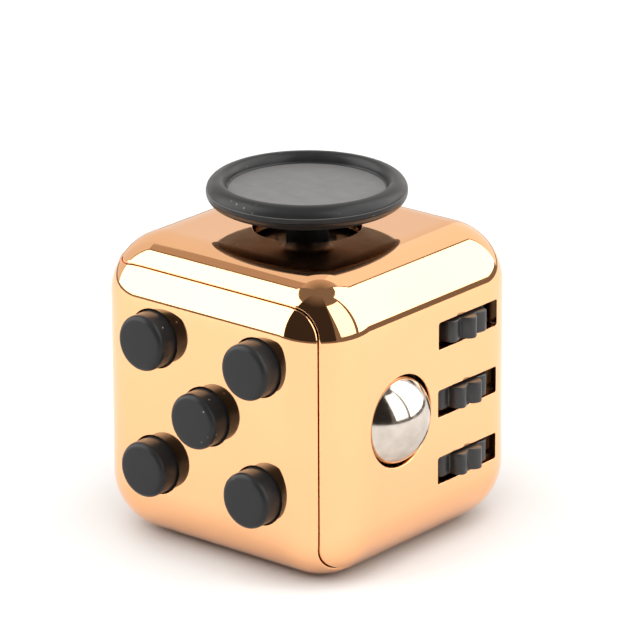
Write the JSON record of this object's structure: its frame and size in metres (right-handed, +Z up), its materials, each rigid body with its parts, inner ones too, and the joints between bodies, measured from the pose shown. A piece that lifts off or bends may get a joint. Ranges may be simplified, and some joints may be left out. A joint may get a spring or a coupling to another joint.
{
  "type": "fidget cube",
  "caption": "Plated plastic cube with push buttons, a rolling ball, thumb wheels, a sliding stick, a dial, a rocker and a thumb dish.",
  "frame": {"origin": "on the ground under the middle of the cube", "axes": "+Z up through the sliding stick's face, -Y out of the push-button face, +X out of the ball-and-wheels face"},
  "size_m": [0.0388, 0.0387, 0.0394],
  "materials": {
    "plated_plastic": "mirror-bright rose-gold plating on moulded plastic",
    "black_rubber": "matt black, lightly dusty",
    "black_plastic": "satin black",
    "white_plastic": "satin off-white",
    "circuit_board": "green solder mask",
    "polished_steel": "polished bright",
    "steel": "plain bright steel"
  },
  "bodies": {
    "case": {"lower_half_shell": "plated_plastic", "upper_half_shell": "plated_plastic", "click_board": "circuit_board", "switch_upper_left": "black_plastic", "switch_center": "black_plastic", "switch_lower_left": "black_plastic", "board_screw_upper": "steel", "board_screw_lower": "steel", "spring_upper_right": "steel", "spring_lower_right": "steel", "roll_bracket": "white_plastic", "bracket_screw_upper": "steel", "bracket_screw_lower": "steel", "wheel_axle": "steel", "wheel_spacer_upper": "white_plastic", "wheel_spacer_lower": "white_plastic", "wheel_leaf": "steel", "ball_spring": "steel", "glide_base": "white_plastic", "glide_screw_1": "steel", "glide_screw_2": "steel", "glide_screw_3": "steel", "glide_screw_4": "steel", "glide_spring": "steel", "rocker_frame": "white_plastic", "frame_screw_upper": "steel", "frame_screw_lower": "steel", "rocker_pin": "steel"},
    "button_upper_left": {"button_upper_left": "black_rubber", "plunger_upper_left": "white_plastic"},
    "button_upper_right": {"button_upper_right": "black_rubber"},
    "button_center": {"button_center": "black_rubber", "plunger_center": "white_plastic"},
    "button_lower_left": {"button_lower_left": "black_rubber", "plunger_lower_left": "white_plastic"},
    "button_lower_right": {"button_lower_right": "black_rubber"},
    "ball_cup": {"ball_cup": "black_plastic"},
    "ball": {"ball": "polished_steel"},
    "wheel_upper": {"wheel_upper": "black_plastic"},
    "wheel_middle": {"wheel_middle": "black_plastic"},
    "wheel_lower": {"wheel_lower": "black_plastic"},
    "carriage": {"glide_carriage": "white_plastic"},
    "stick": {"stick_cap": "black_rubber", "stick_foot": "black_plastic", "stick_screw": "steel"},
    "dial": {"dial": "black_plastic", "dial_washer": "steel", "dial_screw": "steel"},
    "rocker": {"rocker": "black_plastic", "rocker_plunger": "steel", "rocker_spring": "steel"}
  },
  "joints": [
    {"name": "button_upper_left_press", "type": "slide", "parent": "case", "child": "button_upper_left", "axis": [0, 1, 0], "range_m": [0, 0.0008], "stiffness_N_per_m": 1500, "springref_m": -0.0004},
    {"name": "button_upper_right_press", "type": "slide", "parent": "case", "child": "button_upper_right", "axis": [0, 1, 0], "range_m": [0, 0.0015], "stiffness_N_per_m": 600, "springref_m": -0.0006, "deforming": ["spring_upper_right"]},
    {"name": "button_center_press", "type": "slide", "parent": "case", "child": "button_center", "axis": [0, 1, 0], "range_m": [0, 0.0008], "stiffness_N_per_m": 1500, "springref_m": -0.0004},
    {"name": "button_lower_left_press", "type": "slide", "parent": "case", "child": "button_lower_left", "axis": [0, 1, 0], "range_m": [0, 0.0008], "stiffness_N_per_m": 1500, "springref_m": -0.0004},
    {"name": "button_lower_right_press", "type": "slide", "parent": "case", "child": "button_lower_right", "axis": [0, 1, 0], "range_m": [0, 0.0015], "stiffness_N_per_m": 600, "springref_m": -0.0006, "deforming": ["spring_lower_right"]},
    {"name": "ball_press", "type": "slide", "parent": "case", "child": "ball_cup", "axis": [-1, 0, 0], "range_m": [0, 0.001], "stiffness_N_per_m": 900, "springref_m": -0.0005, "deforming": ["ball_spring"]},
    {"name": "ball_roll", "type": "hinge", "parent": "ball_cup", "child": "ball", "pos_m": [0.014, -0.00495, 0.017], "axis": [0, 0, 1], "continuous": true},
    {"name": "wheel_upper_spin", "type": "hinge", "parent": "case", "child": "wheel_upper", "pos_m": [0.01315, 0.00652, 0.02467], "axis": [0, 0, 1], "continuous": true, "deforming": ["wheel_leaf"]},
    {"name": "wheel_middle_spin", "type": "hinge", "parent": "case", "child": "wheel_middle", "pos_m": [0.01315, 0.00652, 0.017], "axis": [0, 0, 1], "continuous": true},
    {"name": "wheel_lower_spin", "type": "hinge", "parent": "case", "child": "wheel_lower", "pos_m": [0.01315, 0.00652, 0.00933], "axis": [0, 0, 1], "continuous": true},
    {"name": "stick_glide_x", "type": "slide", "parent": "case", "child": "carriage", "axis": [1, 0, 0], "range_m": [-0.0025, 0.0025], "stiffness_N_per_m": 250, "deforming": ["glide_spring"]},
    {"name": "stick_glide_y", "type": "slide", "parent": "carriage", "child": "stick", "axis": [0, 1, 0], "range_m": [-0.0025, 0.0025], "stiffness_N_per_m": 250, "deforming": ["glide_spring"]},
    {"name": "dial_spin", "type": "hinge", "parent": "case", "child": "dial", "pos_m": [-0.0156, 0, 0.017], "axis": [-1, 0, 0], "continuous": true},
    {"name": "rocker_flip", "type": "hinge", "parent": "case", "child": "rocker", "pos_m": [0, 0.0136, 0.017], "axis": [1, 0, 0], "range_deg": [0, 24], "deforming": ["rocker_spring"]}
  ]
}
